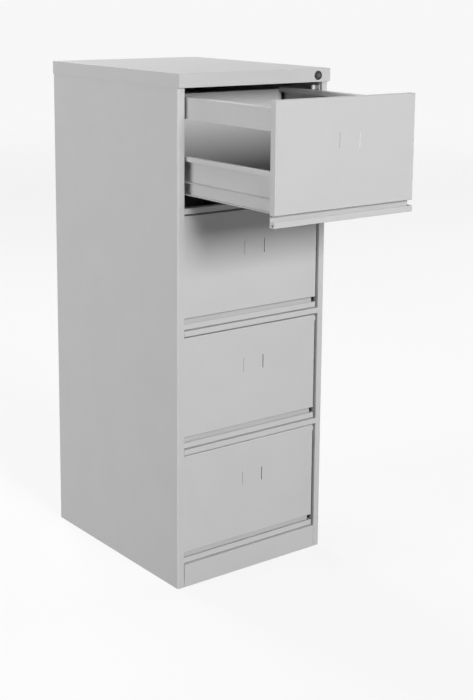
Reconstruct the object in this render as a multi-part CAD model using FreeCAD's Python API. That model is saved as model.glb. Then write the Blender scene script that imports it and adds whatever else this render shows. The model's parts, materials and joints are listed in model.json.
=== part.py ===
"""Four-drawer steel filing cabinet, with the top drawer drawn out.

All sizes are in millimetres. The origin is the middle of the body's footprint
on the floor, +Z is up, -Y is the front and +X is the right-hand side of someone
who faces the drawers. Drawer 1 is the top one.
"""
import FreeCAD, Part
import math
import os

Vec = FreeCAD.Vector
same_place = 1e-6              # two coordinates closer than this are the same

# Sheet thicknesses
sheet = 0.8                    # folded panels, fronts and trays
channel_sheet = 1.2            # runner channels
file_rail_sheet = 1.0          # rails that carry suspension files
bend = 0.5                     # inside radius of an ordinary fold
body_bend = 4.2                # inside radius of the large front and back folds of the body

# Body
body_width = 480.0
body_depth = 600.0
stile_width = 20.0             # front fold of each side panel, seen beside the drawers
stile_depth = 18.0             # how far that fold returns into the cabinet
back_flange = 15.0             # fold of each side panel behind the back panel
kick_height = 61.0
cross_rail_height = 14.5       # strip between two drawers
pan_flange = 20.0              # upturned edge of the bottom pan
notch_clearance = 0.3          # bottom pan round the stiles
kick_end_gap = 0.8             # kick plate to each stile

# Top cap
cap_lip = 35.0
cap_front_proud = 7.0          # cap in front of the body
cap_side_proud = 1.0           # cap outside the body at the sides and the back
cap_edge_radius = 0.7
lip_above_rail = 0.5           # cap lip's lower edge above the top rail's

# Drawer fronts
drawer_count = 4
front_height = 290.5
gap_below = 1.5                # front to the rail or kick plate below it
gap_above = 5.5                # front to the rail above it
front_side_gap = 3.0
front_inset = 8.0              # fronts behind the body's front plane
front_thickness = 18.0         # depth of the folded pan and of the pull
front_rim = 15.0               # fold that closes the pan's back edge
front_edge_radius = 1.5
pull_lip = 15.0                # upturned lip that the fingers hook behind
hem_gap = 0.4                  # lip's edge, folded back on itself
hem_depth = 6.0
hem_bend = 0.15
pull_gap = 13.5                # finger opening above the lip
lip_hole_radius = 2.6          # hole in each end of the pull
lip_hole_back = 8.0            # its centre behind the lip's face
lip_hole_rise = 5.5            # its centre above the pull's lower edge

# Card holder, two louvres pressed out of each front, open towards each other
card_offset = 8.0              # its middle to the right of the front's
card_width = 68.0
card_height = 35.0
card_drop = 82.0               # below the front's top edge
card_strip_width = 3.2
card_strip_rise = 2.0
card_strip_edge = 1.0          # rounding of each strip's outer edge
card_slit_under = 2.0          # lanced slit below each strip
card_slit_past = 0.6           # slit beside the strip, on the card's side
card_slit_end = 1.5            # slit past the strip's lower end

# Drawer body
tray_floor = 32.0              # tray's underside above the front's lower edge
tray_wall = 96.5               # height of the low side walls
tray_length = 481.0            # behind the front
band_width = 12.0              # outward fold along the top of each wall
band_drop = 12.0
back_fold = 12.0               # fold along the top of the drawer's back
back_side_gap = 0.2            # back to each wall
back_below_rails = 5.5         # back's top edge below the file rails'

# Suspension file rails
file_rail_drop = 17.0          # below the front's top edge
file_rail_face = 53.0
file_rail_ledge = 21.0
file_rail_lip = 12.0
file_rail_inset = 1.0          # behind the front's side edge

# Runners and rollers
runner_floor = 33.0            # runner channels' underside above the front's lower edge
runner_height = 32.0
cabinet_runner_depth = 16.0
runner_start = 21.0            # cabinet channel behind the body's front plane
runner_tail = 4.0              # cabinet channel past its rear stop
drawer_travel = 380.0
shown_opening = 357.0          # how far the top drawer is drawn out
rear_roller_setback = 22.0     # rear roller's axis ahead of the tray's rear end
roller_clearance = 0.3         # roller to the channel above and below it
rear_roller_width = 8.0
rear_roller_side_gap = 3.0     # to the cabinet channel's web
front_roller_side_gap = 1.4    # behind the drawer channel's edge
front_roller_gap = 1.0         # behind the closed front
roller_groove_depth = 1.0      # dished face of each roller
roller_groove_rim = 3.0
roller_hub_radius = 6.0
roller_edge = 0.6              # rounding of each roller's rims
axle_radius = 3.0
axle_running = 0.08            # radial clearance of a roller on its axle
axle_head_radius = 4.8
axle_head = 1.2
axle_shoulder_radius = 5.0
axle_side_gap = 0.3            # roller to the head and the shoulder
stop_reach = 8.0               # stop tab's width from the channel's web
stop_clearance = 0.3

# Nylon glides over the file rails
glide_gap = 0.4                # above the file rail
glide_height = 11.6
glide_size = 6.0
glide_clear_of_front = 1.0
glide_clip_reach = 8.0         # along the stile's return
glide_clip_inside = 1.7
glide_clip_outside = 2.0

# Lock
lock_from_side = 40.5          # lock's axis to the body's side
lock_drop = 18.0               # lock's axis below the cap's top
lock_flange_radius = 12.0
lock_flange = 2.0
lock_flange_edge = 0.8
lock_body_radius = 9.0
lock_body_clearance = 0.3
lock_body_end = 16.0           # behind the body's front plane
plug_radius = 6.4
plug_running = 0.08
plug_proud = 0.6
keyway_width = 1.4
keyway_height = 8.0
keyway_depth = 12.0
nut_sides = 6
nut_across_flats = 24.0
nut_thickness = 5.0
crank_gap = 0.5
crank_thickness = 2.0
crank_radius = 8.5             # crank pin from the lock's axis
crank_pin_radius = 2.0
crank_rim = 2.6
crank_pin_past = 2.0           # crank pin past the lock bar's head
lock_turn = 90.0               # degrees from open to locked

# Lock bar
bar_thickness = 2.0
bar_gap = 2.2                  # to the stile's return
bar_width = 12.0
bar_front_gap = 6.7            # to the inside of the stile
bar_foot = 40.0                # lower end above the bottom drawer front's lower edge
head_gap = 2.5                 # crank to the bar's head
head_height = 16.0
head_slot_clearance = 0.6
head_side_margin = 6.0
head_rise = 8.0                # widened top of the bar below the head
catch_radius = 2.5
catch_height = 168.0           # open position above the front's lower edge
catch_reach = 2.2              # past the front's side edge
catch_clearance = 0.75
guide_height = 14.0
guide_wall = 3.0
guide_clearance = 0.3
guide_level = 70.0             # above each front's lower edge

# Derived places
half_width = body_width / 2
front_plane = -body_depth / 2
back_plane = body_depth / 2
inner_side = half_width - sheet
opening_half = half_width - stile_width
front_half = opening_half - front_side_gap
pitch = gap_below + front_height + gap_above + cross_rail_height
first_front = kick_height + gap_below
top_rail_bottom = kick_height + drawer_count * pitch - cross_rail_height
cap_bottom = top_rail_bottom + lip_above_rail
body_height = cap_bottom + cap_lip
panel_top = body_height - sheet
face_y = front_plane + front_inset
front_back = face_y + front_thickness
face_bottom = pull_lip + pull_gap
file_rail_top = front_height - file_rail_drop
card_bottom = front_height - card_drop - card_height
wall_half = front_half - band_width
tray_end = front_back + tray_length
roller_radius = runner_height / 2 - channel_sheet - roller_clearance
roller_height = runner_floor + runner_height / 2
front_roller_y = front_back + front_roller_gap + roller_radius
rear_roller_y = tray_end - rear_roller_setback
front_stop_y = rear_roller_y - drawer_travel - roller_radius - stop_clearance
rear_stop_y = rear_roller_y + roller_radius + stop_clearance
cabinet_web = inner_side - channel_sheet
rear_roller_outer = cabinet_web - rear_roller_side_gap
rear_roller_inner = rear_roller_outer - rear_roller_width
drawer_web = wall_half + channel_sheet
front_roller_outer = front_half - front_roller_side_gap
front_roller_inner = drawer_web + axle_head + 2 * axle_side_gap
file_rail_outer = front_half - file_rail_inset
lock_x = half_width - lock_from_side
lock_z = body_height - lock_drop
crank_front = front_plane + lock_body_end + crank_gap
crank_back = crank_front + crank_thickness
head_front = crank_back + head_gap
bar_inner = opening_half + sheet + bar_gap
bar_front = front_plane + sheet + bar_front_gap
catch_y = bar_front + bar_width / 2
catch_end = front_half - catch_reach
lock_stroke = 2 * crank_radius * math.sin(math.radians(lock_turn / 2))


def front_bottom(drawer):
    """Height of a front's lower edge; drawer 1 is the top one."""
    return first_front + (drawer_count - drawer) * pitch


def box(x0, x1, y0, y1, z0, z1):
    """Box between two corners."""
    return Part.makeBox(x1 - x0, y1 - y0, z1 - z0, Vec(x0, y0, z0))


def rod(radius, start, end):
    """Round bar between two points."""
    axis = end.sub(start)
    return Part.makeCylinder(radius, axis.Length, start, axis)


def mirrored(shape):
    """The same piece for the other side of the cabinet."""
    return shape.mirror(Vec(0, 0, 0), Vec(1, 0, 0))


def both_sides(shape):
    """A right-hand piece and its left-hand twin."""
    return [shape, mirrored(shape)]


def fused(shapes):
    """One solid from several, with the seams between them removed."""
    return shapes[0].fuse(shapes[1:]).removeSplitter()


def corner(before, at, after, radius):
    """Tangent points, centre and turning side of a rounded corner of a 2-D line."""
    first = at.sub(before).normalize()
    second = after.sub(at).normalize()
    turn = math.atan2(first.x * second.y - first.y * second.x, first.dot(second))
    reach = radius * math.tan(abs(turn) / 2)
    side = 1.0 if turn > 0 else -1.0
    start = at.sub(first * reach)
    end = at.add(second * reach)
    centre = start.add(Vec(-first.y, first.x, 0) * (side * radius))
    return start, end, centre, side


def strip_side(path, radii, offset):
    """Edges of a folded sheet's one surface, offset from its middle line."""
    edges = []
    here = path[0]
    for index in range(1, len(path)):
        along = path[index].sub(path[index - 1]).normalize()
        shift = Vec(-along.y, along.x, 0) * offset
        if index == len(path) - 1:
            edges.append(Part.makeLine(here.add(shift), path[index].add(shift)))
            break
        radius = radii[index - 1]
        start, end, centre, side = corner(path[index - 1], path[index], path[index + 1], radius)
        size = radius - side * offset
        onward = path[index + 1].sub(path[index]).normalize()
        turned = Vec(-onward.y, onward.x, 0) * offset
        middle = centre.add(path[index].sub(centre).normalize() * size)
        edges.append(Part.makeLine(here.add(shift), start.add(shift)))
        edges.append(Part.Arc(start.add(shift), middle, end.add(turned)).toShape())
        here = end
    return edges


def folded(path, thickness, inside_radii, place, along):
    """A folded sheet: a 2-D middle line with rounded corners, thickened and carried along a line.

    place turns a 2-D point into a 3-D one, and along is the vector of the extrusion.
    """
    points = [Vec(u, v, 0) for u, v in path]
    radii = [inside + thickness / 2 for inside in inside_radii]
    left = strip_side(points, radii, thickness / 2)
    right = strip_side(points, radii, -thickness / 2)
    caps = [Part.makeLine(left[0].firstVertex().Point, right[0].firstVertex().Point),
            Part.makeLine(left[-1].lastVertex().Point, right[-1].lastVertex().Point)]
    wire = Part.Wire(Part.__sortEdges__(left + right + caps))
    face = Part.Face(wire)
    face.transformShape(place)
    return face.extrude(along)


# The 2-D middle lines are drawn in plan, from the side or from the front.
IN_PLAN = FreeCAD.Matrix()
FROM_SIDE = FreeCAD.Matrix(0, 0, 1, 0, 1, 0, 0, 0, 0, 1, 0, 0, 0, 0, 0, 1)
FROM_FRONT = FreeCAD.Matrix(1, 0, 0, 0, 0, 0, -1, 0, 0, 1, 0, 0, 0, 0, 0, 1)


def folded_plan(path, thickness, inside_radii, z0, z1):
    """Folded sheet with its (x, y) line carried up from z0 to z1."""
    shape = folded(path, thickness, inside_radii, IN_PLAN, Vec(0, 0, z1 - z0))
    shape.translate(Vec(0, 0, z0))
    return shape


def folded_across(path, thickness, inside_radii, x0, x1):
    """Folded sheet with its (y, z) line carried across from x0 to x1."""
    shape = folded(path, thickness, inside_radii, FROM_SIDE, Vec(x1 - x0, 0, 0))
    shape.translate(Vec(x0, 0, 0))
    return shape


def folded_back(path, thickness, inside_radii, y0, y1):
    """Folded sheet with its (x, z) line carried back from y0 to y1."""
    shape = folded(path, thickness, inside_radii, FROM_FRONT, Vec(0, y1 - y0, 0))
    shape.translate(Vec(0, y0, 0))
    return shape


def side_panel():
    """Right side panel with its stile, the stile's return and the rear flange."""
    half = sheet / 2
    path = [(opening_half + half, front_plane + stile_depth),
            (opening_half + half, front_plane + half),
            (half_width - half, front_plane + half),
            (half_width - half, back_plane - sheet - half),
            (half_width - back_flange, back_plane - sheet - half)]
    return folded_plan(path, sheet, [bend, body_bend, bend], 0, panel_top)


def catch_slots():
    """Slots in the right stile's return, one for each catch of the lock bar."""
    slots = []
    reach = catch_radius + catch_clearance
    for drawer in range(1, drawer_count + 1):
        level = front_bottom(drawer) + catch_height
        slots.append(box(opening_half - sheet, opening_half + 2 * sheet, catch_y - reach, catch_y + reach,
                         level - lock_stroke - reach, level + reach))
    return slots


def back_panel():
    """Flat sheet over the side panels' rear flanges."""
    return box(-inner_side, inner_side, back_plane - sheet, back_plane, 0, panel_top)


def top_cap():
    """Pan that covers the body, with a lip on all four sides and the lock's hole."""
    half = half_width + cap_side_proud
    front = front_plane - cap_front_proud
    back = back_plane + cap_side_proud
    outer = box(-half, half, front, back, cap_bottom, body_height)
    edges = [edge for edge in outer.Edges if edge.BoundBox.ZMin > body_height - sheet]
    outer = outer.makeFillet(cap_edge_radius, edges)
    inner = box(-half + sheet, half - sheet, front + sheet, back - sheet, cap_bottom - 1, panel_top)
    return outer.cut([inner, lock_hole(front - 1, front + 2 * sheet)])


def lock_hole(y0, y1):
    """Clearance for the lock's body through a sheet."""
    return rod(lock_body_radius + lock_body_clearance, Vec(lock_x, y0, lock_z), Vec(lock_x, y1, lock_z))


def bottom_pan():
    """Bottom sheet on the floor, with upturned edges and its front corners cut round the stiles."""
    front = front_plane + sheet
    back = back_plane - 2 * sheet
    outer = box(-inner_side, inner_side, front, back, 0, pan_flange)
    inner = box(-inner_side + sheet, inner_side - sheet, front + sheet, back - sheet, sheet, pan_flange + 1)
    corner_in = opening_half - notch_clearance
    corner_back = front_plane + stile_depth + notch_clearance
    notches = both_sides(box(corner_in, half_width, front_plane, corner_back, -1, pan_flange + 1))
    bends = both_sides(box(inner_side - back_flange, half_width, back - sheet - body_bend, back_plane,
                           -1, pan_flange + 1))
    return outer.cut([inner] + notches + bends)


def kick_plate():
    """Plate between the stiles below the bottom drawer, with a fold along its top."""
    half = sheet / 2
    reach = opening_half - kick_end_gap
    path = [(front_plane + stile_depth, kick_height - half), (front_plane + half, kick_height - half),
            (front_plane + half, 0)]
    return folded_across(path, sheet, [bend], -reach, reach)


def cross_rail(drawer):
    """Channel between a drawer's front and the one below it."""
    half = sheet / 2
    top = front_bottom(drawer) - gap_below - half
    bottom = front_bottom(drawer) - gap_below - cross_rail_height + half
    deep = front_plane + stile_depth
    path = [(deep, top), (front_plane + half, top), (front_plane + half, bottom), (deep, bottom)]
    return folded_across(path, sheet, [bend, bend], -opening_half, opening_half)


def top_rail():
    """Channel behind the cap's front lip, with the lock's hole."""
    half = sheet / 2
    deep = front_plane + stile_depth
    path = [(deep, panel_top - half), (front_plane + half, panel_top - half),
            (front_plane + half, top_rail_bottom + half), (deep, top_rail_bottom + half)]
    rail = folded_across(path, sheet, [bend, bend], -opening_half, opening_half)
    return rail.cut(lock_hole(front_plane - 1, front_plane + 2 * sheet))


def channel(outer, web, z0, y0, y1):
    """Runner channel whose web is at one side and whose flanges reach to outer."""
    half = channel_sheet / 2
    inward = half if web > outer else -half
    path = [(outer, z0 + half), (web - inward, z0 + half), (web - inward, z0 + runner_height - half),
            (outer, z0 + runner_height - half)]
    return folded_back(path, channel_sheet, [bend, bend], y0, y1)


def stop_tab(z0, y0):
    """Tab across a cabinet channel that stops the drawer's rear roller."""
    return box(cabinet_web - stop_reach, cabinet_web + channel_sheet / 2, y0, y0 + channel_sheet,
               z0 + channel_sheet / 2, z0 + runner_height - channel_sheet / 2)


def axle(near, roller_near, roller_far, y, z):
    """Riveted axle from a channel's web: a shoulder, a journal through the roller and a head."""
    step = 1.0 if roller_far > roller_near else -1.0
    shoulder_end = roller_near - step * axle_side_gap
    head_start = roller_far + step * axle_side_gap
    head_end = head_start + step * axle_head
    return [rod(axle_shoulder_radius, Vec(near, y, z), Vec(shoulder_end, y, z)),
            rod(axle_radius, Vec(near, y, z), Vec(head_end, y, z)),
            rod(axle_head_radius, Vec(head_start, y, z), Vec(head_end, y, z))]


def cabinet_runner(drawer):
    """Right channel fixed to the side panel, with its stops and the front roller's axle."""
    z0 = front_bottom(drawer) + runner_floor
    end = rear_stop_y + channel_sheet + runner_tail
    body = channel(inner_side - cabinet_runner_depth, inner_side, z0, front_plane + runner_start, end)
    stops = [stop_tab(z0, front_stop_y - channel_sheet), stop_tab(z0, rear_stop_y)]
    level = front_bottom(drawer) + roller_height
    web = cabinet_web + channel_sheet / 2
    pin = axle(web, front_roller_outer, front_roller_inner, front_roller_y, level)
    return fused([body] + stops + pin)


def drawer_runner(drawer):
    """Right channel on the tray's wall, with the rear roller's axle."""
    z0 = front_bottom(drawer) + runner_floor
    body = channel(front_half, wall_half, z0, front_back, tray_end)
    level = front_bottom(drawer) + roller_height
    web = wall_half + channel_sheet / 2
    pin = axle(web, rear_roller_inner, rear_roller_outer, rear_roller_y, level)
    return fused([body] + pin)


def roller(x0, x1, y, z):
    """Nylon wheel with a bore and a dished face on each side."""
    wheel = rod(roller_radius, Vec(x0, y, z), Vec(x1, y, z))
    wheel = wheel.makeFillet(roller_edge, [e for e in wheel.Edges if e.Closed])
    bore = rod(axle_radius + axle_running, Vec(x0 - 1, y, z), Vec(x1 + 1, y, z))
    dishes = []
    for start, end in ((x0 - 1, x0 + roller_groove_depth), (x1 - roller_groove_depth, x1 + 1)):
        ring = rod(roller_radius - roller_groove_rim, Vec(start, y, z), Vec(end, y, z))
        hub = rod(roller_hub_radius, Vec(start, y, z), Vec(end, y, z))
        dishes.append(ring.cut(hub))
    return wheel.cut([bore] + dishes)


def front_rollers(drawer):
    """The pair of wheels on the cabinet that the drawer's channels run on."""
    level = front_bottom(drawer) + roller_height
    return both_sides(roller(front_roller_inner, front_roller_outer, front_roller_y, level))


def rear_rollers(drawer):
    """The pair of wheels at the drawer's rear that run in the cabinet's channels."""
    level = front_bottom(drawer) + roller_height
    return both_sides(roller(rear_roller_inner, rear_roller_outer, rear_roller_y, level))


def card_strip(side, z0):
    """One raised strip of the card holder."""
    outer = card_offset + side * card_width / 2
    left, right = sorted((outer, outer - side * card_strip_width))
    low = z0 + card_bottom
    proud = face_y - card_strip_rise
    strip = box(left, right, proud, face_y + sheet / 2, low, low + card_height)
    edges = [e for e in strip.Edges if abs(e.BoundBox.YMax - proud) < same_place
             and abs(e.BoundBox.XMin - outer) < same_place and abs(e.BoundBox.XMax - outer) < same_place]
    return strip.makeFillet(card_strip_edge, edges)


def card_slit(side, z0):
    """Lanced slit that opens a strip on the side of the card, whose edge slides under it."""
    inner = card_offset + side * (card_width / 2 - card_strip_width)
    left, right = sorted((inner - side * card_slit_past, inner + side * card_slit_under))
    low = z0 + card_bottom
    return box(left, right, face_y - card_strip_rise + sheet, face_y + 2 * sheet,
               low - card_slit_end, low + card_height - sheet)


def catch_cuts(z0):
    """Bayonet slot in the front's right side: in from the rear, then down to the locked place."""
    reach = catch_radius + catch_clearance
    level = z0 + catch_height
    inside = catch_end - catch_clearance
    entry = box(inside, front_half + 1, catch_y - reach, front_back + 1, level - reach, level + reach)
    keep = box(inside, front_half + 1, catch_y - reach, catch_y + reach,
               level - lock_stroke - reach, level + reach)
    return [entry, keep]


def drawer_front(drawer):
    """Folded front: a shallow pan that is open at its rear, with its card holder and the catch's slot."""
    z0 = front_bottom(drawer)
    half = sheet / 2
    face, back = face_y + half, front_back - half
    low, high = z0 + face_bottom, z0 + front_height
    path = [(back, high - front_rim), (back, high - half), (face, high - half), (face, low + half),
            (front_back, low + half)]
    radii = [bend, front_edge_radius, front_edge_radius]
    sheet_fold = folded_across(path, sheet, radii, -front_half, front_half)
    side = box(front_half - sheet, front_half, face_y, front_back, low, high)
    rim = box(front_half - front_rim, front_half, front_back - sheet, front_back, low, high)
    shape = fused([sheet_fold] + both_sides(side) + both_sides(rim))
    rounding = box(-half_width, half_width, face_y, face_y + front_edge_radius, low, high)
    shape = shape.cut(rounding.cut(rounded_core(low, high)))
    shape = fused([shape, card_strip(1, z0), card_strip(-1, z0)])
    return shape.cut([card_slit(1, z0), card_slit(-1, z0)] + catch_cuts(z0))


def drawer_pull(drawer):
    """Folded strip below the front: the recess's back, its floor and the hemmed lip, closed at both ends."""
    z0 = front_bottom(drawer)
    half = sheet / 2
    face, back = face_y + half, front_back - half
    hem = face + sheet + hem_gap
    path = [(back, z0 + face_bottom), (back, z0 + half), (face, z0 + half), (face, z0 + pull_lip - half),
            (hem, z0 + pull_lip - half), (hem, z0 + pull_lip - hem_depth)]
    strip = folded_across(path, sheet, [bend, bend, hem_bend, hem_bend], -front_half, front_half)
    end = box(front_half - sheet, front_half, face_y, front_back, z0, z0 + pull_lip)
    hole_y, hole_z = face_y + lip_hole_back, z0 + lip_hole_rise
    hole = rod(lip_hole_radius, Vec(-half_width, hole_y, hole_z), Vec(half_width, hole_y, hole_z))
    return fused([strip] + both_sides(end)).cut(hole)


def rounded_core(z0, z1):
    """Block with the front's outline, its two upright front edges and its top edge rounded."""
    core = box(-front_half, front_half, face_y, front_back, z0, z1)
    edges = [e for e in core.Edges if abs(e.BoundBox.YMin - face_y) < same_place
             and e.BoundBox.YLength < same_place and e.BoundBox.ZMax > z1 - same_place]
    return core.makeFillet(front_edge_radius, edges)


def tray(drawer):
    """Tray folded from one sheet: bands, low walls and floor, with a low wall behind the front."""
    z0 = front_bottom(drawer) + tray_floor
    half = sheet / 2
    top = z0 + tray_wall - half
    edge = top + half - band_drop
    band, wall = front_half - half, wall_half - half
    path = [(-band, edge), (-band, top), (-wall, top), (-wall, z0 + half), (wall, z0 + half), (wall, top),
            (band, top), (band, edge)]
    body = folded_back(path, sheet, [bend] * 6, front_back, tray_end)
    front = box(-wall_half + half, wall_half - half, front_back, front_back + sheet,
                z0 + half, z0 + tray_wall)
    return fused([body, front])


def drawer_back(drawer):
    """Tall back between the walls, folded back along its top; the file rails butt against it."""
    z0 = front_bottom(drawer)
    half = sheet / 2
    top = z0 + file_rail_top - back_below_rails - half
    y = tray_end - half
    path = [(y, z0 + tray_floor + sheet), (y, top), (tray_end + back_fold, top)]
    reach = wall_half - sheet - back_side_gap
    return folded_across(path, sheet, [bend], -reach, reach)


def file_rail(drawer):
    """Right rail: an outer face, a ledge and a downturned lip that the file hooks sit over."""
    half = file_rail_sheet / 2
    top = front_bottom(drawer) + file_rail_top - half
    outer = file_rail_outer - half
    inner = file_rail_outer - file_rail_ledge + half
    path = [(outer, top + half - file_rail_face), (outer, top), (inner, top),
            (inner, top + half - file_rail_lip)]
    return folded_back(path, file_rail_sheet, [bend, bend], front_back, tray_end - sheet)


def glide(drawer):
    """Right nylon glide: a block over the file rail, clipped to the stile's return."""
    z0 = front_bottom(drawer) + file_rail_top + glide_gap
    z1 = z0 + glide_height
    y0 = front_back + glide_clear_of_front
    y1 = y0 + glide_size
    return_back = front_plane + stile_depth
    clip = box(opening_half - glide_clip_outside, opening_half + sheet + glide_clip_inside,
               return_back - glide_clip_reach, y1, z0, z1)
    block = box(file_rail_outer - glide_size, opening_half, y0, y1, z0, z1)
    slot = box(opening_half, opening_half + sheet, return_back - glide_clip_reach - 1, return_back,
               z0 - 1, z1 + 1)
    return fused([clip, block]).cut(slot)


def lock_housing():
    """Lock barrel with its outer flange and the plug's bore."""
    front = front_plane - cap_front_proud
    flange = rod(lock_flange_radius, Vec(lock_x, front - lock_flange, lock_z), Vec(lock_x, front, lock_z))
    rim = [e for e in flange.Edges if e.Closed and e.BoundBox.YMax < front - lock_flange / 2]
    flange = flange.makeFillet(lock_flange_edge, rim)
    barrel = rod(lock_body_radius, Vec(lock_x, front - lock_flange / 2, lock_z),
                 Vec(lock_x, front_plane + lock_body_end, lock_z))
    bore = rod(plug_radius + plug_running, Vec(lock_x, front - 2 * lock_flange, lock_z),
               Vec(lock_x, front_plane + lock_body_end + 1, lock_z))
    return fused([flange, barrel]).cut(bore)


def lock_nut():
    """Hexagon nut that clamps the lock against the top rail."""
    y0 = front_plane + sheet
    radius = nut_across_flats / 2 / math.cos(math.pi / nut_sides)
    corners = []
    for index in range(nut_sides + 1):
        angle = 2 * math.pi * index / nut_sides
        corners.append(Vec(lock_x + radius * math.cos(angle), y0, lock_z + radius * math.sin(angle)))
    hexagon = Part.Face(Part.makePolygon(corners)).extrude(Vec(0, nut_thickness, 0))
    bore = rod(lock_body_radius, Vec(lock_x, y0 - 1, lock_z), Vec(lock_x, y0 + nut_thickness + 1, lock_z))
    return hexagon.cut(bore)


def lock_plug():
    """Turning plug with its keyway, and the crank and pin at its rear."""
    front = front_plane - cap_front_proud - lock_flange - plug_proud
    angle = math.radians(lock_turn / 2)
    pin_x = lock_x + crank_radius * math.cos(angle)
    pin_z = lock_z + crank_radius * math.sin(angle)
    core = rod(plug_radius, Vec(lock_x, front, lock_z), Vec(lock_x, crank_back, lock_z))
    crank = rod(crank_radius + crank_rim, Vec(lock_x, crank_front, lock_z), Vec(lock_x, crank_back, lock_z))
    pin_end = head_front + bar_thickness + crank_pin_past
    pin = rod(crank_pin_radius, Vec(pin_x, crank_front, pin_z), Vec(pin_x, pin_end, pin_z))
    keyway = box(lock_x - keyway_width / 2, lock_x + keyway_width / 2, front - 1, front + keyway_depth,
                 lock_z - keyway_height / 2, lock_z + keyway_height / 2)
    return fused([core, crank, pin]).cut(keyway)


def lock_bar():
    """Sliding bar: a strip down the right stile, its catches and a slotted head at the crank."""
    outer = bar_inner + bar_thickness
    head_z = lock_z + lock_stroke / 2
    head_top = head_z + head_height / 2
    head_low = head_z - head_height / 2
    head_back = head_front + bar_thickness
    foot = front_bottom(drawer_count) + bar_foot
    strip = box(bar_inner, outer, bar_front, bar_front + bar_width, foot, head_top)
    cheek = box(bar_inner, outer, bar_front, head_back, head_low - head_rise, head_top)
    slack = crank_pin_radius + head_slot_clearance
    slot_left = lock_x + crank_radius * math.cos(math.radians(lock_turn / 2)) - slack
    slot_right = lock_x + crank_radius + slack
    head = box(slot_left - head_side_margin, outer, head_front, head_back, head_low, head_top)
    slot = box(slot_left, slot_right, head_front - 1, head_back + 1, head_z - slack, head_z + slack)
    pieces = [strip, cheek, head]
    for drawer in range(1, drawer_count + 1):
        level = front_bottom(drawer) + catch_height
        pieces.append(rod(catch_radius, Vec(catch_end, catch_y, level), Vec(outer, catch_y, level)))
    return fused(pieces).cut(slot)


def bar_guide(drawer):
    """Nylon guide inside the right stile that the lock bar slides through."""
    z0 = front_bottom(drawer) + guide_level
    outer = bar_inner + bar_thickness
    block = box(opening_half + sheet, outer + guide_wall, front_plane + sheet + bend,
                bar_front + bar_width + guide_wall, z0, z0 + guide_height)
    slot = box(bar_inner - guide_clearance, outer + guide_clearance, bar_front - guide_clearance,
               bar_front + bar_width + guide_clearance, z0 - 1, z0 + guide_height + 1)
    return block.cut(slot)


def write(name, shapes):
    """Writes one node's solids to its STEP file."""
    solids = [solid for shape in shapes for solid in shape.Solids]
    for solid in solids:
        if not solid.isValid() or solid.Volume <= 0:
            print("not a sound solid:", name)
    shape = solids[0] if len(solids) == 1 else Part.makeCompound(solids)
    shape.exportStep("parts/" + name + ".step")
    print(name, len(solids), round(shape.Volume, 1))


def drawer_pieces(drawer):
    """Every piece that moves with a drawer, by node name, closed."""
    label = "drawer_%d_" % drawer
    runner = drawer_runner(drawer)
    return {label + "front": [drawer_front(drawer)],
            label + "pull": [drawer_pull(drawer)],
            label + "tray": [tray(drawer)],
            label + "back": [drawer_back(drawer)],
            label + "file_rails": both_sides(file_rail(drawer)),
            label + "runner_right": [runner],
            label + "runner_left": [mirrored(runner)],
            label + "rear_rollers": rear_rollers(drawer)}


def cabinet_pieces():
    """Every piece of the fixed cabinet, by node name."""
    side = side_panel()
    drawers = range(1, drawer_count + 1)
    pieces = {"right_side_panel": [side.cut(catch_slots())],
              "left_side_panel": [mirrored(side)],
              "back_panel": [back_panel()],
              "top_cap": [top_cap()],
              "bottom_pan": [bottom_pan()],
              "kick_plate": [kick_plate()],
              "top_rail": [top_rail()],
              "file_rail_glides": [part for drawer in drawers for part in both_sides(glide(drawer))],
              "lock_bar_guides": [bar_guide(drawer) for drawer in drawers],
              "lock_housing": [lock_housing()],
              "lock_nut": [lock_nut()]}
    for drawer in drawers:
        runner = cabinet_runner(drawer)
        pieces["cabinet_runner_%d_right" % drawer] = [runner]
        pieces["cabinet_runner_%d_left" % drawer] = [mirrored(runner)]
        if drawer < drawer_count:
            pieces["cross_rail_%d" % drawer] = [cross_rail(drawer)]
    return pieces


def main():
    """Builds every piece and writes it where it stands, with the top drawer drawn out."""
    os.makedirs("parts", exist_ok=True)
    for name, shapes in cabinet_pieces().items():
        write(name, shapes)
    for drawer in range(1, drawer_count + 1):
        write("front_rollers_%d" % drawer, front_rollers(drawer))
        for name, shapes in drawer_pieces(drawer).items():
            if drawer == 1:
                for shape in shapes:
                    shape.translate(Vec(0, -shown_opening, 0))
            write(name, shapes)
    write("lock_plug", [lock_plug()])
    write("lock_bar", [lock_bar()])
    print("body", body_width, body_depth, body_height)


main()
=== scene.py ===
"""Four-drawer steel filing cabinet with its top drawer drawn out, dressed for a plain studio.

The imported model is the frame: every sheet, runner and roller keeps its shape and gets a finish. This
script adds the fine parts that the solids leave out, each worked out from the frame's own boxes.
"""

import json
import logging
import math
from dataclasses import dataclass
from enum import Enum
from typing import Sequence

import bpy
import numpy as np
from mathutils import Matrix, Vector


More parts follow.
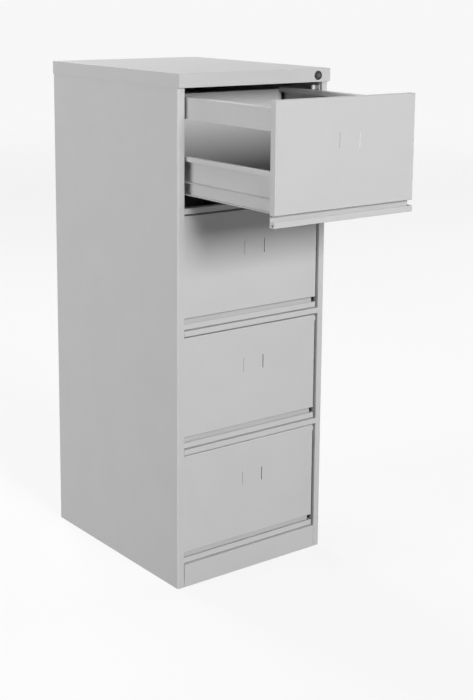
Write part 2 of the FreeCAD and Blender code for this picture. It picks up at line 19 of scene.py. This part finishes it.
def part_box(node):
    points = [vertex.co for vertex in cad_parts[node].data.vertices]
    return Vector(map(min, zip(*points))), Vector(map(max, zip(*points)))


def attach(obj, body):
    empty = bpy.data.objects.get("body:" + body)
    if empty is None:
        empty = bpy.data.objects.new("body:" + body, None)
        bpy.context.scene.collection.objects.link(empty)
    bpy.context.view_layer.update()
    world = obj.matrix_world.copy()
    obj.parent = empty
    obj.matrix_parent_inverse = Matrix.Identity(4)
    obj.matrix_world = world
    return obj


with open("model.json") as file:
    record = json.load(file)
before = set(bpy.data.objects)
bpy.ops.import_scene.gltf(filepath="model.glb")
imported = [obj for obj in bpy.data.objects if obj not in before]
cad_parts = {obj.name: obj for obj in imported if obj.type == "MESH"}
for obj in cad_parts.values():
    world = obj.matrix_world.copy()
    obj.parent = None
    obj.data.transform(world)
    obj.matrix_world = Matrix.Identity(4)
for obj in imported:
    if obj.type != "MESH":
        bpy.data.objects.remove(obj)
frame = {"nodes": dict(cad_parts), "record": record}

LOG = logging.getLogger("filing_cabinet")
MM = 0.001
DRAWERS = (1, 2, 3, 4)

# Nearly all values of a noise lie between these two.
NOISE_LOW = 0.3
NOISE_HIGH = 0.7


class Side(Enum):
    """The two hands of the cabinet, seen from the front."""

    LEFT = -1.0
    RIGHT = 1.0


class Slot(Enum):
    """The record's material slots."""

    ENAMEL = "light_grey_enamel"
    ZINC = "zinc_plated_steel"
    NYLON = "white_nylon"
    BLACK = "blackened_zinc"


# Colours and nodes


def srgb(code: str) -> tuple[float, float, float, float]:
    """Turns an sRGB hex colour into Blender's linear one.

    Args:
        code: six hex digits with a leading hash mark.

    Returns:
        Linear red, green and blue, and an alpha of 1.
    """
    values = [int(code[start:start + 2], 16) / 255.0 for start in (1, 3, 5)]
    linear = [v / 12.92 if v <= 0.04045 else ((v + 0.055) / 1.055) ** 2.4 for v in values]
    return (linear[0], linear[1], linear[2], 1.0)


def add_node(tree: bpy.types.NodeTree, kind: str, settings: dict | None = None,
             inputs: dict | None = None) -> bpy.types.Node:
    """Adds one node, with its settings and its links.

    Args:
        tree: the node tree.
        kind: Blender's name for the node type.
        settings: attributes of the node.
        inputs: socket name or number to a plain value or to the output socket that feeds it.

    Returns:
        The new node.
    """
    node = tree.nodes.new(kind)
    for name, value in (settings or {}).items():
        setattr(node, name, value)
    for key, value in (inputs or {}).items():
        if isinstance(value, bpy.types.NodeSocket):
            tree.links.new(value, node.inputs[key])
        else:
            node.inputs[key].default_value = value
    return node


def new_material(name: str) -> tuple[bpy.types.Material, bpy.types.NodeTree, bpy.types.Node]:
    """Makes a material with a bare Principled shader.

    Args:
        name: the finish's name.

    Returns:
        The material, its tree and its shader node.
    """
    material = bpy.data.materials.new(name)
    material.use_nodes = True
    tree = material.node_tree
    tree.nodes.clear()
    shader = add_node(tree, "ShaderNodeBsdfPrincipled")
    add_node(tree, "ShaderNodeOutputMaterial", inputs={"Surface": shader.outputs["BSDF"]})
    return material, tree, shader


# Surfaces


def mesh_piece(name: str, points: np.ndarray, faces: list) -> bpy.types.Object:
    """Makes a smooth-shaded object from points and faces.

    Args:
        name: the object's name.
        points: rows of x, y and z in metres.
        faces: lists of point numbers, counter-clockwise seen from outside.

    Returns:
        The object, at the origin.
    """
    mesh = bpy.data.meshes.new(name)
    mesh.from_pydata(points.tolist(), [], faces)
    mesh.shade_smooth()
    piece = bpy.data.objects.new(name, mesh)
    bpy.context.scene.collection.objects.link(piece)
    return piece


def turned_piece(name: str, profile: np.ndarray, centres: np.ndarray, axis: Sequence[float],
                 sides: int = 24) -> bpy.types.Object:
    """Makes round pieces of one profile, each turned about its own axis.

    A point is centre + radius x (cos a x across + sin a x up) + height x axis, where the profile gives
    radius and height, a runs once round, and across, up and axis are square to each other. The profile
    starts and ends on the axis, so each piece is closed by a point at its top and one at its bottom.

    Args:
        name: the object's name.
        profile: rows of radius and height in metres, from the top point to the bottom one.
        centres: rows of x, y and z in metres.
        axis: direction that heights are measured in.
        sides: points round each ring.

    Returns:
        The object, with its place in its mesh.
    """
    normal = np.array(Vector(axis).normalized())
    across = np.array(Vector(axis).orthogonal().normalized())
    up = np.cross(normal, across)
    angle = np.arange(sides) * (2 * math.pi / sides)
    circle = np.cos(angle)[:, None] * across + np.sin(angle)[:, None] * up
    rings = profile[1:-1, 0, None, None] * circle + profile[1:-1, 1, None, None] * normal
    poles = profile[[0, -1], 1, None] * normal
    local = np.concatenate((rings.reshape(-1, 3), poles))
    points = (centres[:, None, :] + local[None, :, :]).reshape(-1, 3)
    row, column = np.meshgrid(np.arange(len(rings) - 1), np.arange(sides), indexing="ij")
    onward = (column + 1) % sides
    inner, outer = row * sides, (row + 1) * sides
    quads = np.stack((inner + column, outer + column, outer + onward, inner + onward), axis=-1)
    around = np.arange(sides)
    beside = (around + 1) % sides
    last = (len(rings) - 1) * sides
    top, bottom = np.full(sides, len(local) - 2), np.full(sides, len(local) - 1)
    fans = np.concatenate((np.stack((top, around, beside), axis=-1),
                           np.stack((bottom, last + beside, last + around), axis=-1)))
    shift = (np.arange(len(centres)) * len(local))[:, None, None]
    squares = (quads.reshape(-1, 4) + shift).reshape(-1, 4)
    triangles = (fans + shift).reshape(-1, 3)
    return mesh_piece(name, points, squares.tolist() + triangles.tolist())


def plate_piece(name: str, front: np.ndarray, thickness: float,
                axis: Sequence[float]) -> bpy.types.Object:
    """Makes a thin closed plate from the grid of its front.

    The back is the front's grid moved against the axis by the thickness, and one strip of faces along
    the grid's four edges joins the two.

    Args:
        name: the object's name.
        front: grid of points, rows by columns by 3; its rows crossed with its columns give the axis.
        thickness: the plate's thickness in metres.
        axis: direction that the front faces.

    Returns:
        The object, with its place in its mesh.
    """
    rows, columns = front.shape[:2]
    count = rows * columns
    back = front - np.array(Vector(axis).normalized()) * thickness
    points = np.concatenate((front.reshape(-1, 3), back.reshape(-1, 3)))
    index = np.arange(count).reshape(rows, columns)
    corners = (index[:-1, :-1], index[1:, :-1], index[1:, 1:], index[:-1, 1:])
    quads = np.stack(corners, axis=-1).reshape(-1, 4)
    rim = np.concatenate((index[0, :-1], index[:-1, -1], index[-1, :0:-1], index[:0:-1, 0]))
    onward = np.roll(rim, -1)
    sides = np.stack((rim, onward, onward + count, rim + count), axis=-1)
    faces = np.concatenate((quads, quads[:, ::-1] + count, sides))
    return mesh_piece(name, points, faces.tolist())


def finish_piece(piece: bpy.types.Object, material: bpy.types.Material, body: str) -> None:
    """Gives a new piece its finish and the body it rides on.

    Args:
        piece: the new piece.
        material: its finish.
        body: the CAD body it moves with.
    """
    piece.data.materials.append(material)
    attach(piece, body)
    LOG.info("added %s on %s", piece.name, body)


# Finishes


@dataclass(frozen=True)
class Enamel:
    """Baked enamel over cold-rolled sheet steel.

    The paint is smooth but not flat: it pulls into a fine orange peel, the sheet under it waves a little
    between its folds, and the colour drifts slightly where the coat is thick or thin. The eye sees a
    soft, broken sheen. Real peel is 1 to 2 mm across, finer than a pixel of the photograph, which is
    about 2.6 mm on the fronts. It is drawn at 3 mm so that it can show.
    """

    name: str = "baked_light_grey_enamel"
    colour: str = "#C5C5C6"
    thin_coat: str = "#C3C3C4"
    drift_mm: float = 120.0
    drift_span: tuple[float, float] = (0.35, 0.65)
    roughness: float = 0.42
    roughness_drift: float = 0.02
    gloss_drift_mm: float = 300.0
    peel_mm: float = 3.0
    peel_height_mm: float = 0.010
    wave_mm: float = 170.0
    wave_height_mm: float = 0.04
    ior: float = 1.5
    specular: float = 0.3

    def material(self) -> bpy.types.Material:
        """Builds the enamel.

        Returns:
            The material.
        """
        material, tree, shader = new_material(self.name)
        place = add_node(tree, "ShaderNodeTexCoord").outputs["Object"]
        drift = add_node(tree, "ShaderNodeTexNoise", inputs={
            "Vector": place, "Scale": 1.0 / (self.drift_mm * MM), "Detail": 3.0, "Roughness": 0.55})
        share = add_node(tree, "ShaderNodeMapRange", inputs={
            "Value": drift.outputs["Fac"], "From Min": self.drift_span[0],
            "From Max": self.drift_span[1]})
        mix = add_node(tree, "ShaderNodeMix", {"data_type": "RGBA"}, {
            "Factor": share.outputs["Result"], 6: srgb(self.thin_coat), 7: srgb(self.colour)})
        tree.links.new(mix.outputs[2], shader.inputs["Base Color"])
        gloss = add_node(tree, "ShaderNodeTexNoise", inputs={
            "Vector": place, "Scale": 1.0 / (self.gloss_drift_mm * MM), "Detail": 4.0,
            "Roughness": 0.6})
        level = add_node(tree, "ShaderNodeMapRange", inputs={
            "Value": gloss.outputs["Fac"], "From Min": NOISE_LOW, "From Max": NOISE_HIGH,
            "To Min": self.roughness - self.roughness_drift,
            "To Max": self.roughness + self.roughness_drift})
        tree.links.new(level.outputs["Result"], shader.inputs["Roughness"])
        peel = add_node(tree, "ShaderNodeTexNoise", inputs={
            "Vector": place, "Scale": 1.0 / (self.peel_mm * MM), "Detail": 2.0, "Roughness": 0.5})
        wave = add_node(tree, "ShaderNodeTexNoise", inputs={
            "Vector": place, "Scale": 1.0 / (self.wave_mm * MM), "Detail": 1.0, "Roughness": 0.4})
        broad = add_node(tree, "ShaderNodeBump", inputs={
            "Strength": 1.0, "Distance": self.wave_height_mm * MM, "Height": wave.outputs["Fac"]})
        fine = add_node(tree, "ShaderNodeBump", inputs={
            "Strength": 1.0, "Distance": self.peel_height_mm * MM, "Height": peel.outputs["Fac"],
            "Normal": broad.outputs["Normal"]})
        tree.links.new(fine.outputs["Normal"], shader.inputs["Normal"])
        shader.inputs["IOR"].default_value = self.ior
        shader.inputs["Specular IOR Level"].default_value = self.specular
        return material


@dataclass(frozen=True)
class ZincPlate:
    """Zinc-plated rolled steel of the runner channels, the lock bar and the nut.

    Plating keeps the rolling lines and dulls in cloudy patches, so the metal looks grey-blue and
    slightly streaked. The rolling lines run along the channels, from front to back. Real ones are about
    0.2 mm apart. They are drawn at 1.2 mm, which is still finer than a pixel of the photograph, so from
    there they only soften the sheen.
    """

    name: str = "zinc_plated_steel"
    colour: str = "#B9BDC2"
    dull: str = "#9A9EA4"
    cloud_mm: float = 26.0
    cloud_span: tuple[float, float] = (0.38, 0.62)
    roughness: float = 0.36
    smoother_by: float = 0.08
    rougher_by: float = 0.1
    streak_mm: float = 1.2
    streak_squeeze: float = 0.02
    streak_height_mm: float = 0.01

    def material(self) -> bpy.types.Material:
        """Builds the plating.

        Returns:
            The material.
        """
        material, tree, shader = new_material(self.name)
        place = add_node(tree, "ShaderNodeTexCoord").outputs["Object"]
        cloud = add_node(tree, "ShaderNodeTexNoise", inputs={
            "Vector": place, "Scale": 1.0 / (self.cloud_mm * MM), "Detail": 4.0, "Roughness": 0.6})
        share = add_node(tree, "ShaderNodeMapRange", inputs={
            "Value": cloud.outputs["Fac"], "From Min": self.cloud_span[0],
            "From Max": self.cloud_span[1]})
        mix = add_node(tree, "ShaderNodeMix", {"data_type": "RGBA"}, {
            "Factor": share.outputs["Result"], 6: srgb(self.dull), 7: srgb(self.colour)})
        tree.links.new(mix.outputs[2], shader.inputs["Base Color"])
        along = add_node(tree, "ShaderNodeMapping", inputs={
            "Vector": place, "Scale": (1.0, self.streak_squeeze, 1.0)})
        streak = add_node(tree, "ShaderNodeTexNoise", inputs={
            "Vector": along.outputs["Vector"], "Scale": 1.0 / (self.streak_mm * MM), "Detail": 2.0})
        level = add_node(tree, "ShaderNodeMapRange", inputs={
            "Value": streak.outputs["Fac"], "From Min": NOISE_LOW, "From Max": NOISE_HIGH,
            "To Min": self.roughness - self.smoother_by, "To Max": self.roughness + self.rougher_by})
        tree.links.new(level.outputs["Result"], shader.inputs["Roughness"])
        bump = add_node(tree, "ShaderNodeBump", inputs={
            "Strength": 0.6, "Distance": self.streak_height_mm * MM,
            "Height": streak.outputs["Fac"]})
        tree.links.new(bump.outputs["Normal"], shader.inputs["Normal"])
        shader.inputs["Metallic"].default_value = 1.0
        return material


@dataclass(frozen=True)
class Nylon:
    """Natural moulded nylon of the rollers, glides and guides.

    It is milky: the light that goes in comes out again close by, and the moulded skin is even and half
    matt. The reach is a share of the shader's own depth of 50 mm: under a tenth of a millimetre.
    """

    name: str = "natural_white_nylon"
    colour: str = "#DADAD5"
    cloudy: str = "#CFCFC9"
    cloud_mm: float = 7.0
    skin_height_mm: float = 0.02
    roughness: float = 0.46
    milkiness: float = 0.15
    reach_share: tuple[float, float, float] = (0.0015, 0.0014, 0.0012)

    def material(self) -> bpy.types.Material:
        """Builds the nylon.

        Returns:
            The material.
        """
        material, tree, shader = new_material(self.name)
        place = add_node(tree, "ShaderNodeTexCoord").outputs["Object"]
        cloud = add_node(tree, "ShaderNodeTexNoise", inputs={
            "Vector": place, "Scale": 1.0 / (self.cloud_mm * MM), "Detail": 3.0})
        mix = add_node(tree, "ShaderNodeMix", {"data_type": "RGBA"}, {
            "Factor": cloud.outputs["Fac"], 6: srgb(self.cloudy), 7: srgb(self.colour)})
        tree.links.new(mix.outputs[2], shader.inputs["Base Color"])
        bump = add_node(tree, "ShaderNodeBump", inputs={
            "Strength": 0.5, "Distance": self.skin_height_mm * MM, "Height": cloud.outputs["Fac"]})
        tree.links.new(bump.outputs["Normal"], shader.inputs["Normal"])
        shader.inputs["Roughness"].default_value = self.roughness
        shader.inputs["Subsurface Weight"].default_value = self.milkiness
        shader.inputs["Subsurface Radius"].default_value = self.reach_share
        return material


@dataclass(frozen=True)
class BlackZinc:
    """Die-cast zinc lock parts with a black coat.

    The coat is satin. Keys and hands wear it in spots about 2 mm wide to a brown-grey metal, so the lock
    reads as dark, with a soft glint.
    """

    name: str = "black_coated_zinc"
    colour: str = "#2A2A2C"
    worn: str = "#6B6660"
    wear_mm: float = 2.4
    wear_span: tuple[float, float] = (0.52, 0.75)
    wear_depth_mm: float = 0.02
    roughness: float = 0.34
    bare_metal: float = 0.4

    def material(self) -> bpy.types.Material:
        """Builds the black coat.

        Returns:
            The material.
        """
        material, tree, shader = new_material(self.name)
        place = add_node(tree, "ShaderNodeTexCoord").outputs["Object"]
        wear = add_node(tree, "ShaderNodeTexNoise", inputs={
            "Vector": place, "Scale": 1.0 / (self.wear_mm * MM), "Detail": 5.0, "Roughness": 0.7})
        share = add_node(tree, "ShaderNodeMapRange", inputs={
            "Value": wear.outputs["Fac"], "From Min": self.wear_span[0],
            "From Max": self.wear_span[1]})
        mix = add_node(tree, "ShaderNodeMix", {"data_type": "RGBA"}, {
            "Factor": share.outputs["Result"], 6: srgb(self.colour), 7: srgb(self.worn)})
        tree.links.new(mix.outputs[2], shader.inputs["Base Color"])
        bump = add_node(tree, "ShaderNodeBump", inputs={
            "Strength": 0.5, "Distance": self.wear_depth_mm * MM, "Height": wear.outputs["Fac"]})
        tree.links.new(bump.outputs["Normal"], shader.inputs["Normal"])
        shader.inputs["Roughness"].default_value = self.roughness
        shader.inputs["Metallic"].default_value = self.bare_metal
        return material


@dataclass(frozen=True)
class Nickel:
    """Darkened nickel plating on the plug's face.

    Handling has dulled it and keys have scratched it in fine upright lines round the keyway, so it stays
    nearly as dark as the housing and gives one soft glint. Real scratches are hair-thin. They are drawn
    at 0.5 mm and still show only from close by.
    """

    name: str = "darkened_nickel_plating"
    colour: str = "#6E6B68"
    roughness: float = 0.34
    smoother_by: float = 0.08
    rougher_by: float = 0.12
    scratch_mm: float = 0.5
    scratch_squeeze: float = 0.15
    scratch_depth_mm: float = 0.01

    def material(self) -> bpy.types.Material:
        """Builds the plating.

        Returns:
            The material.
        """
        material, tree, shader = new_material(self.name)
        place = add_node(tree, "ShaderNodeTexCoord").outputs["Object"]
        upright = add_node(tree, "ShaderNodeMapping", inputs={
            "Vector": place, "Scale": (1.0, 1.0, self.scratch_squeeze)})
        scratch = add_node(tree, "ShaderNodeTexNoise", inputs={
            "Vector": upright.outputs["Vector"], "Scale": 1.0 / (self.scratch_mm * MM),
            "Detail": 3.0})
        level = add_node(tree, "ShaderNodeMapRange", inputs={
            "Value": scratch.outputs["Fac"], "From Min": NOISE_LOW, "From Max": NOISE_HIGH,
            "To Min": self.roughness - self.smoother_by, "To Max": self.roughness + self.rougher_by})
        tree.links.new(level.outputs["Result"], shader.inputs["Roughness"])
        bump = add_node(tree, "ShaderNodeBump", inputs={
            "Strength": 0.6, "Distance": self.scratch_depth_mm * MM,
            "Height": scratch.outputs["Fac"]})
        tree.links.new(bump.outputs["Normal"], shader.inputs["Normal"])
        shader.inputs["Base Color"].default_value = srgb(self.colour)
        shader.inputs["Metallic"].default_value = 1.0
        return material


# The studio


@dataclass(frozen=True)
class Viewpoint:
    """Where the photograph was taken from, in the cabinet's frame.

    The angles and the place come from the body's corners in the photograph. Pixels are in its 473 by
    700 frame. The best fit of all has the optical axis 55 pixels higher still. This one is within a
    pixel of it on average, and its smaller shift keeps the cabinet whole in the frame from other sides.
    """

    yaw_deg: float = 38.190
    pitch_deg: float = 10.564
    roll_deg: float = -0.627
    focal_px: float = 1337.6
    place_mm: tuple[float, float, float] = (-2092.7, -2962.1, 1540.1)
    axis_px: tuple[float, float] = (255.0, 235.0)
    frame_px: tuple[int, int] = (473, 700)
    sensor_mm: float = 36.0
    nearest: float = 0.05
    farthest: float = 400.0

    def rotation(self) -> Matrix:
        """Camera axes from yaw, pitch and roll.

        Returns:
            Right, up and backwards as the columns of a matrix.
        """
        yaw, pitch, roll = (math.radians(a) for a in (self.yaw_deg, self.pitch_deg, self.roll_deg))
        ahead = math.cos(pitch)
        forward = Vector((math.sin(yaw) * ahead, math.cos(yaw) * ahead, -math.sin(pitch)))
        level = Vector((math.cos(yaw), -math.sin(yaw), 0.0))
        down = forward.cross(level)
        right = level * math.cos(roll) + down * math.sin(roll)
        fall = down * math.cos(roll) - level * math.sin(roll)
        return Matrix((right, -fall, -forward)).transposed().to_4x4()

    def build(self) -> None:
        """Adds the camera and makes it the scene's own."""
        data = bpy.data.cameras.new("camera")
        data.sensor_fit = "AUTO"
        data.sensor_width = self.sensor_mm
        width, height = self.frame_px
        data.lens = self.focal_px * self.sensor_mm / height
        data.shift_x = (width / 2 - self.axis_px[0]) / height
        data.shift_y = (self.axis_px[1] - height / 2) / height
        data.clip_start = self.nearest
        data.clip_end = self.farthest
        camera = bpy.data.objects.new("camera", data)
        bpy.context.scene.collection.objects.link(camera)
        camera.matrix_world = Matrix.Translation(Vector(self.place_mm) * MM) @ self.rotation()
        bpy.context.scene.camera = camera


@dataclass(frozen=True)
class Lamp:
    """One soft square lamp, placed by its direction and distance from the point that all lamps face.

    Azimuth 0 is in front of the cabinet, 90 on its left and 180 behind it. Lengths are in metres.
    """

    name: str
    azimuth_deg: float
    elevation_deg: float
    distance: float
    size: float
    watts: float

    def place(self, aim: Vector) -> Vector:
        """Finds where the lamp hangs.

        Args:
            aim: the point it faces.

        Returns:
            The lamp's middle.
        """
        turn, lift = math.radians(self.azimuth_deg), math.radians(self.elevation_deg)
        level = math.cos(lift)
        way = Vector((-math.sin(turn) * level, -math.cos(turn) * level, math.sin(lift)))
        return aim + way * self.distance

    def build(self, aim: Vector) -> None:
        """Hangs the lamp.

        Args:
            aim: the point it faces.
        """
        data = bpy.data.lights.new(self.name, "AREA")
        data.shape = "SQUARE"
        data.size = self.size
        data.energy = self.watts
        lamp = bpy.data.objects.new(self.name, data)
        bpy.context.scene.collection.objects.link(lamp)
        lamp.location = self.place(aim)
        lamp.rotation_euler = (aim - lamp.location).to_track_quat("-Z", "Y").to_euler()


@dataclass(frozen=True)
class Studio:
    """Pale floor, soft lamps and a weak even world.

    A low lamp in front, a weaker one on the left and one high behind give the fronts, the side and the
    cap the greys that they have in the photograph. The one on the right only keeps the far side from
    going dark. The floor looks white but throws back less light than white paper would, so the hollows
    stay deep. It glows a little less near the cabinet, where the lamps reach it, so that it looks as
    even as the backdrop and still takes the cabinet's shadow. Lengths are in metres.
    """

    backdrop: str = "#FAFAFA"
    floor_paper: str = "#F0F0F0"
    floor_bounce: str = "#8C8C8C"
    floor_roughness: float = 0.9
    floor_specular: float = 0.1
    floor_share: float = 0.8
    floor_size: float = 300.0
    glow_near: float = 1.04
    glow_far: float = 1.20
    near: float = 2.0
    far: float = 12.0
    world_strength: float = 0.04
    aim: tuple[float, float, float] = (0.0, -0.3, 0.75)
    lamps: tuple[Lamp, ...] = (
        Lamp("front_lamp", 5.0, 20.0, 7.0, 2.0, 432.0),
        Lamp("side_lamp", 105.0, 12.0, 6.0, 3.0, 206.0),
        Lamp("back_lamp", 180.0, 45.0, 5.0, 2.5, 136.0),
        Lamp("far_side_lamp", -92.0, 10.0, 6.0, 3.0, 125.0))

    def seen_white(self, tree: bpy.types.NodeTree) -> bpy.types.NodeSocket:
        """Tells the rays that look at a surface from those that only light it.

        Args:
            tree: the node tree.

        Returns:
            One for a camera, glossy or transmission ray, and zero for any other.
        """
        path = add_node(tree, "ShaderNodeLightPath")
        first = add_node(tree, "ShaderNodeMath", {"operation": "MAXIMUM"}, {
            0: path.outputs["Is Camera Ray"], 1: path.outputs["Is Glossy Ray"]})
        both = add_node(tree, "ShaderNodeMath", {"operation": "MAXIMUM"}, {
            0: first.outputs[0], 1: path.outputs["Is Transmission Ray"]})
        return both.outputs[0]

    def build_world(self) -> None:
        """Adds a world that lights evenly and looks white."""
        world = bpy.data.worlds.new("studio")
        bpy.context.scene.world = world
        world.use_nodes = True
        tree = world.node_tree
        tree.nodes.clear()
        strength = add_node(tree, "ShaderNodeMapRange", inputs={
            "Value": self.seen_white(tree), "To Min": self.world_strength, "To Max": 1.0})
        light = add_node(tree, "ShaderNodeBackground", inputs={
            "Color": srgb(self.backdrop), "Strength": strength.outputs["Result"]})
        add_node(tree, "ShaderNodeOutputWorld", inputs={"Surface": light.outputs["Background"]})

    def floor_material(self) -> bpy.types.Material:
        """Builds the floor's paper, which glows where it is seen.

        Returns:
            The material.
        """
        material, tree, shader = new_material("studio_floor")
        seen = self.seen_white(tree)
        paper = add_node(tree, "ShaderNodeMix", {"data_type": "RGBA"}, {
            "Factor": seen, 6: srgb(self.floor_bounce), 7: srgb(self.floor_paper)})
        tree.links.new(paper.outputs[2], shader.inputs["Base Color"])
        shader.inputs["Roughness"].default_value = self.floor_roughness
        shader.inputs["Specular IOR Level"].default_value = self.floor_specular
        place = add_node(tree, "ShaderNodeTexCoord").outputs["Object"]
        away = add_node(tree, "ShaderNodeVectorMath", {"operation": "LENGTH"}, {0: place})
        strength = add_node(tree, "ShaderNodeMapRange", {"interpolation_type": "SMOOTHSTEP"}, {
            "Value": away.outputs["Value"], "From Min": self.near, "From Max": self.far,
            "To Min": self.glow_near, "To Max": self.glow_far})
        glow = add_node(tree, "ShaderNodeEmission", inputs={
            "Color": srgb(self.backdrop), "Strength": strength.outputs["Result"]})
        share = add_node(tree, "ShaderNodeMath", {"operation": "MULTIPLY"}, {
            0: seen, 1: self.floor_share})
        mix = add_node(tree, "ShaderNodeMixShader", inputs={
            0: share.outputs[0], 1: shader.outputs["BSDF"], 2: glow.outputs["Emission"]})
        output = next(node for node in tree.nodes if node.type == "OUTPUT_MATERIAL")
        tree.links.new(mix.outputs["Shader"], output.inputs["Surface"])
        return material

    def build_floor(self) -> None:
        """Adds the large pale floor that keeps the cabinet's shadow."""
        half = self.floor_size / 2
        corners = [(-half, -half, 0.0), (half, -half, 0.0), (half, half, 0.0), (-half, half, 0.0)]
        mesh = bpy.data.meshes.new("floor")
        mesh.from_pydata(corners, [], [(0, 1, 2, 3)])
        mesh.materials.append(self.floor_material())
        floor = bpy.data.objects.new("floor", mesh)
        bpy.context.scene.collection.objects.link(floor)

    def build(self) -> None:
        """Builds the world, the floor and the lamps."""
        bpy.context.scene.view_settings.view_transform = "Standard"
        self.build_world()
        self.build_floor()
        for lamp in self.lamps:
            lamp.build(Vector(self.aim))


# Fine parts that the solids leave out


@dataclass
class SpotWelds:
    """Marks of the welding electrodes, where two sheets are joined and the paint has followed the dent.

    A mark's height over its radius is a low floor plus a bell near its rim:
    floor + rim x exp(-((r - rim_at) / rim_width)^2). Its outer edge drops into the sheet.
    """

    radius: float = 3.4 * MM
    floor: float = 0.03 * MM
    rim: float = 0.17 * MM
    rim_at: float = 2.5 * MM
    rim_width: float = 0.55 * MM
    sunk: float = 0.3 * MM
    rings: int = 12
    spacing: float = 104.0 * MM
    end_margin: float = 42.0 * MM
    flange_middle: float = 8.0 * MM
    web_height: float = 17.0 * MM

    def profile(self) -> np.ndarray:
        """Works out one mark's outline.

        Returns:
            Rows of radius and height, from its middle out and down.
        """
        radius = np.linspace(0.0, self.radius, self.rings)
        height = self.floor + self.rim * np.exp(-((radius - self.rim_at) / self.rim_width) ** 2)
        face = np.stack((radius, height), axis=1)
        return np.concatenate((face, [[self.radius, -self.sunk], [0.0, -self.sunk]]))

    def spread(self, low: float, high: float) -> np.ndarray:
        """Spaces marks evenly between two ends, as near to the usual spacing as fits.

        Args:
            low: one end of the sheet.
            high: its other end.

        Returns:
            The places.
        """
        length = high - low - 2 * self.end_margin
        count = max(2, round(length / self.spacing) + 1)
        return np.linspace(low + self.end_margin, high - self.end_margin, count)

    def back_panel(self) -> bpy.types.Object:
        """Makes the marks down both sides of the back panel, over the side panels' flanges.

        Returns:
            The marks as one object.
        """
        low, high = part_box("back_panel")
        heights = self.spread(low.z, high.z)
        column = np.stack((np.zeros_like(heights), np.full_like(heights, high.y), heights), axis=1)
        reach = np.array([high.x - self.flange_middle, 0.0, 0.0])
        centres = np.concatenate((column - reach, column + reach))
        return turned_piece("back_panel_weld_marks", self.profile(), centres, (0.0, 1.0, 0.0))

    def tray_wall(self, drawer: int, side: Side) -> bpy.types.Object:
        """Makes the marks inside one wall of a tray, where the runner's web is welded to it.

        Args:
            drawer: 1 for the top drawer.
            side: which wall.

        Returns:
            The marks as one object.
        """
        runner_low, runner_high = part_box(f"drawer_{drawer}_runner_{side.name.lower()}")
        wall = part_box(f"drawer_{drawer}_back")[1].x
        along = self.spread(runner_low.y, runner_high.y)
        level = np.full_like(along, runner_low.z + self.web_height)
        centres = np.stack((np.full_like(along, side.value * wall), along, level), axis=1)
        name = f"drawer_{drawer}_weld_marks_{side.name.lower()}"
        return turned_piece(name, self.profile(), centres, (-side.value, 0.0, 0.0))

    def build(self, enamel: bpy.types.Material) -> None:
        """Adds every mark and lets it ride with its sheet.

        Args:
            enamel: the paint over the marks.
        """
        finish_piece(self.back_panel(), enamel, "cabinet")
        for drawer in DRAWERS:
            for side in Side:
                marks = self.tray_wall(drawer, side)
                finish_piece(marks, enamel, f"drawer_{drawer}")


@dataclass
class LockFace:
    """Nickel face of the lock's plug, in two halves beside the keyway.

    A half is bounded by a straight edge and an arc. Along a row, the distance from the keyway runs evenly
    from the straight edge to the arc, and the face is a dome: height = rise x (1 - (r / radius)^2).
    """

    radius: float = 5.5 * MM
    slot_half: float = 0.95 * MM
    rise: float = 0.22 * MM
    edge: float = 0.08 * MM
    last_angle_deg: float = 78.0
    rows: int = 25
    columns: int = 9

    def half(self, side: Side) -> np.ndarray:
        """Works out the grid of one half's front, on the plug's own face.

        Args:
            side: which side of the keyway.

        Returns:
            Points, rows by columns by 3, whose rows crossed with its columns point to the front.
        """
        plug_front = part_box("lock_plug")[0].y
        low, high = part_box("lock_housing")
        middle_x, middle_z = (low.x + high.x) / 2, (low.z + high.z) / 2
        angle = np.radians(np.linspace(-self.last_angle_deg, self.last_angle_deg, self.rows))[:, None]
        share = np.linspace(0.0, 1.0, self.columns)[None, :]
        up = np.broadcast_to(self.radius * np.sin(angle), (self.rows, self.columns))
        out = self.slot_half + share * (self.radius * np.cos(angle) - self.slot_half)
        dome = self.rise * (1.0 - (out ** 2 + up ** 2) / self.radius ** 2)
        depth = plug_front - self.edge - dome
        grid = np.stack((middle_x + side.value * out, depth, middle_z + up), axis=-1)
        return grid[::-1] if side is Side.RIGHT else grid

    def build(self, nickel: bpy.types.Material) -> None:
        """Adds both halves, turning with the plug.

        Args:
            nickel: the plating.
        """
        forward = (0.0, -1.0, 0.0)
        for side in Side:
            name = f"lock_face_{side.name.lower()}"
            piece = plate_piece(name, self.half(side), 2 * self.edge, forward)
            finish_piece(piece, nickel, "lock_plug")


# The cabinet


@dataclass
class CabinetFinish:
    """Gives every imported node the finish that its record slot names."""

    enamel: Enamel = Enamel()
    zinc: ZincPlate = ZincPlate()
    nylon: Nylon = Nylon()
    black: BlackZinc = BlackZinc()

    def dress(self) -> dict[Slot, bpy.types.Material]:
        """Assigns the materials by slot.

        Returns:
            Slot to material.
        """
        finishes = {Slot.ENAMEL: self.enamel.material(), Slot.ZINC: self.zinc.material(),
                    Slot.NYLON: self.nylon.material(), Slot.BLACK: self.black.material()}
        for part in frame["record"]["subparts"]:
            node = frame["nodes"][part["node"]]
            slot = Slot(part["material_slot"])
            node.data.materials.clear()
            node.data.materials.append(finishes[slot])
            LOG.info("dressed %s as %s", part["node"], slot.value)
        return finishes


def main() -> None:
    """Builds the studio and dresses the cabinet."""
    logging.basicConfig(level=logging.INFO)
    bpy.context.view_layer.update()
    Viewpoint().build()
    Studio().build()
    finishes = CabinetFinish().dress()
    SpotWelds().build(finishes[Slot.ENAMEL])
    LockFace().build(Nickel().material())


if __name__ == "__main__":
    main()
